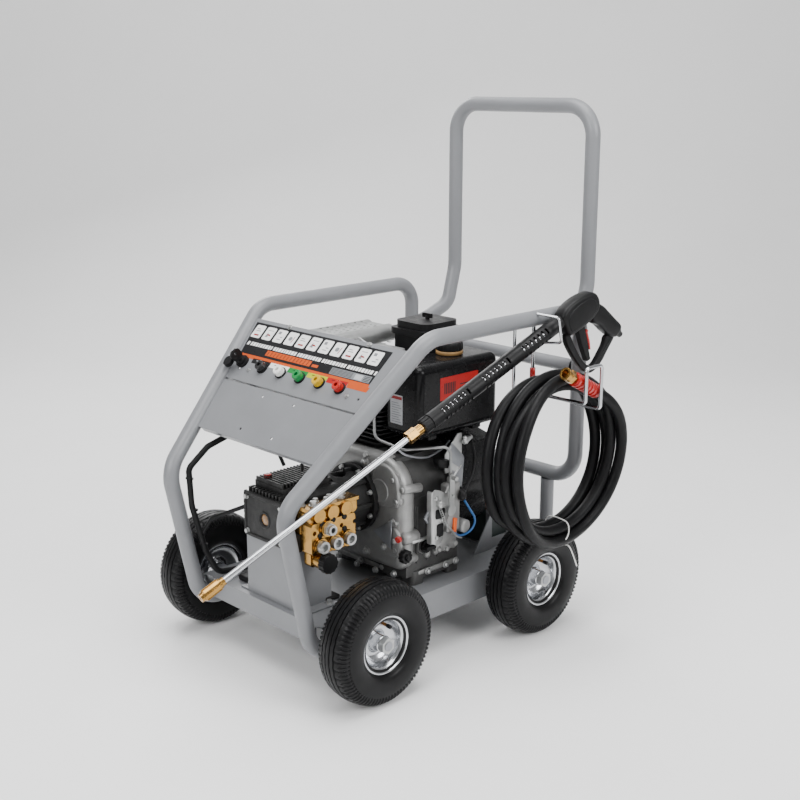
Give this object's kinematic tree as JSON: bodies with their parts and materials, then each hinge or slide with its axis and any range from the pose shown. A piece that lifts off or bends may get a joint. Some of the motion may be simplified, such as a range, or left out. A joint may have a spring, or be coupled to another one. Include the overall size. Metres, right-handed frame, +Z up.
{
  "type": "engine-driven pressure washer",
  "caption": "Wheeled tube-frame pressure washer: diesel engine driving a brass-headed pump, sloping panel with spray tips, coiled hose and a lance clipped along the side.",
  "frame": {"origin": "on the floor, midway between the tyre contact patches", "axes": "+X to the machine's right, the side with the lance and hose; +Y to the rear, the push handle's side; +Z up"},
  "size_m": [0.7336, 1.1098, 1.1751],
  "materials": {
    "frame_steel": "satin",
    "tyre": "matte",
    "rim": "polished",
    "zinc": "satin",
    "steel": "satin",
    "alloy": "cast, matt",
    "dark_iron": "painted",
    "black_metal": "gloss",
    "black_plastic": "matt",
    "brass": "satin",
    "rubber": "matt",
    "red_plastic": "gloss",
    "battery_case": "matt",
    "nozzle_black": "gloss",
    "nozzle_white": "gloss",
    "nozzle_green": "gloss",
    "nozzle_yellow": "gloss",
    "nozzle_red": "gloss"
  },
  "bodies": {
    "machine": {"hoop_right": "frame_steel", "hoop_left": "frame_steel", "rear_tubes": "frame_steel", "push_handle": "frame_steel", "deck_tray": "frame_steel", "axles": "steel", "hub_nuts": "zinc", "control_panel": "frame_steel", "lower_panel": "frame_steel", "fasteners": "zinc", "key_switch": "black_plastic", "nozzle_holders": "black_plastic", "crankcase": "alloy", "gear_cover": "alloy", "engine_barrel": "dark_iron", "cylinder_head": "alloy", "muffler": "zinc", "air_cleaner": "black_plastic", "fuel_tank": "black_metal", "blower_housing": "black_metal", "injection_pump": "zinc", "bell_housing": "dark_iron", "pump_crankcase": "dark_iron", "pump_manifold": "brass", "pump_caps": "zinc", "pump_pedestal": "frame_steel", "battery": "battery_case", "battery_clamp": "frame_steel", "wiring_loom": "rubber", "storage_hooks": "rim", "hose_coil": "rubber", "hose_couplings": "brass", "bend_guards": "red_plastic"},
    "wheel_front_right": {"tyre_front_right": "tyre", "rim_front_right": "rim"},
    "wheel_front_left": {"tyre_front_left": "tyre", "rim_front_left": "rim"},
    "wheel_rear_right": {"tyre_rear_right": "tyre", "rim_rear_right": "rim"},
    "wheel_rear_left": {"tyre_rear_left": "tyre", "rim_rear_left": "rim"},
    "key": {"ignition_key": "black_plastic"},
    "tip_black": {"nozzle_black": "nozzle_black"},
    "tip_white": {"nozzle_white": "nozzle_white"},
    "tip_green": {"nozzle_green": "nozzle_green"},
    "tip_yellow": {"nozzle_yellow": "nozzle_yellow"},
    "tip_red": {"nozzle_red": "nozzle_red"},
    "tank_cap": {"fuel_cap": "black_plastic"},
    "starter_grip": {"recoil_handle": "rubber"},
    "crank": {"flywheel_shaft": "steel"},
    "speed_control": {"speed_lever": "zinc"},
    "oil_dipstick": {"dipstick": "black_plastic"},
    "water_inlet_cap": {"inlet_cap": "black_plastic"},
    "spray_gun": {"gun_body": "black_plastic", "lance_shroud": "black_plastic", "lance_tube": "rim", "lance_fittings": "brass"},
    "gun_trigger": {"trigger": "black_plastic"},
    "trigger_lock": {"safety_latch": "red_plastic"}
  },
  "joints": [
    {"name": "wheel_front_right_turn", "type": "hinge", "parent": "machine", "child": "wheel_front_right", "pos_m": [0.276, -0.243, 0.13], "axis": [1, 0, 0], "continuous": true},
    {"name": "wheel_front_left_turn", "type": "hinge", "parent": "machine", "child": "wheel_front_left", "pos_m": [-0.276, -0.243, 0.13], "axis": [1, 0, 0], "continuous": true},
    {"name": "wheel_rear_right_turn", "type": "hinge", "parent": "machine", "child": "wheel_rear_right", "pos_m": [0.276, 0.243, 0.13], "axis": [1, 0, 0], "continuous": true},
    {"name": "wheel_rear_left_turn", "type": "hinge", "parent": "machine", "child": "wheel_rear_left", "pos_m": [-0.276, 0.243, 0.13], "axis": [1, 0, 0], "continuous": true},
    {"name": "key_turn", "type": "hinge", "parent": "machine", "child": "key", "pos_m": [-0.193, -0.19903, 0.6167], "axis": [0, -0.6979, 0.7162], "range_deg": [0, 90]},
    {"name": "tip_black_pull", "type": "slide", "parent": "machine", "child": "tip_black", "axis": [0, -0.6979, 0.7162], "range_m": [0, 0.04]},
    {"name": "tip_white_pull", "type": "slide", "parent": "machine", "child": "tip_white", "axis": [0, -0.6979, 0.7162], "range_m": [0, 0.04]},
    {"name": "tip_green_pull", "type": "slide", "parent": "machine", "child": "tip_green", "axis": [0, -0.6979, 0.7162], "range_m": [0, 0.04]},
    {"name": "tip_yellow_pull", "type": "slide", "parent": "machine", "child": "tip_yellow", "axis": [0, -0.6979, 0.7162], "range_m": [0, 0.04]},
    {"name": "tip_red_pull", "type": "slide", "parent": "machine", "child": "tip_red", "axis": [0, -0.6979, 0.7162], "range_m": [0, 0.04]},
    {"name": "tank_cap_lift", "type": "slide", "parent": "machine", "child": "tank_cap", "axis": [0, 0, 1], "range_m": [0, 0.05]},
    {"name": "starter_pull", "type": "slide", "parent": "machine", "child": "starter_grip", "axis": [-1, 0, 0], "range_m": [0, 0.5], "stiffness_N_per_m": 20},
    {"name": "crank_turn", "type": "hinge", "parent": "machine", "child": "crank", "pos_m": [0.03, 0, 0.335], "axis": [0, 1, 0], "continuous": true},
    {"name": "speed_control_swing", "type": "hinge", "parent": "machine", "child": "speed_control", "pos_m": [0.2, 0.043, 0.318], "axis": [1, 0, 0], "range_deg": [-12, 24]},
    {"name": "oil_dipstick_pull", "type": "slide", "parent": "machine", "child": "oil_dipstick", "axis": [1, 0, 0], "range_m": [0, 0.06]},
    {"name": "water_inlet_cap_pull", "type": "slide", "parent": "machine", "child": "water_inlet_cap", "axis": [1, 0, 0], "range_m": [0, 0.05]},
    {"name": "spray_gun_draw", "type": "slide", "parent": "machine", "child": "spray_gun", "axis": [0.1091, 0.9012, 0.4195], "range_m": [0, 0.35]},
    {"name": "trigger_squeeze", "type": "hinge", "parent": "spray_gun", "child": "gun_trigger", "pos_m": [0.30879, 0.32081, 0.70854], "axis": [0.9928, -0.1201, 0], "range_deg": [0, 12], "stiffness_Nm_per_rad": 1.2},
    {"name": "trigger_lock_flip", "type": "hinge", "parent": "gun_trigger", "child": "trigger_lock", "pos_m": [0.31236, 0.35029, 0.6848], "axis": [0.9928, -0.1201, 0], "range_deg": [0, 35]}
  ]
}
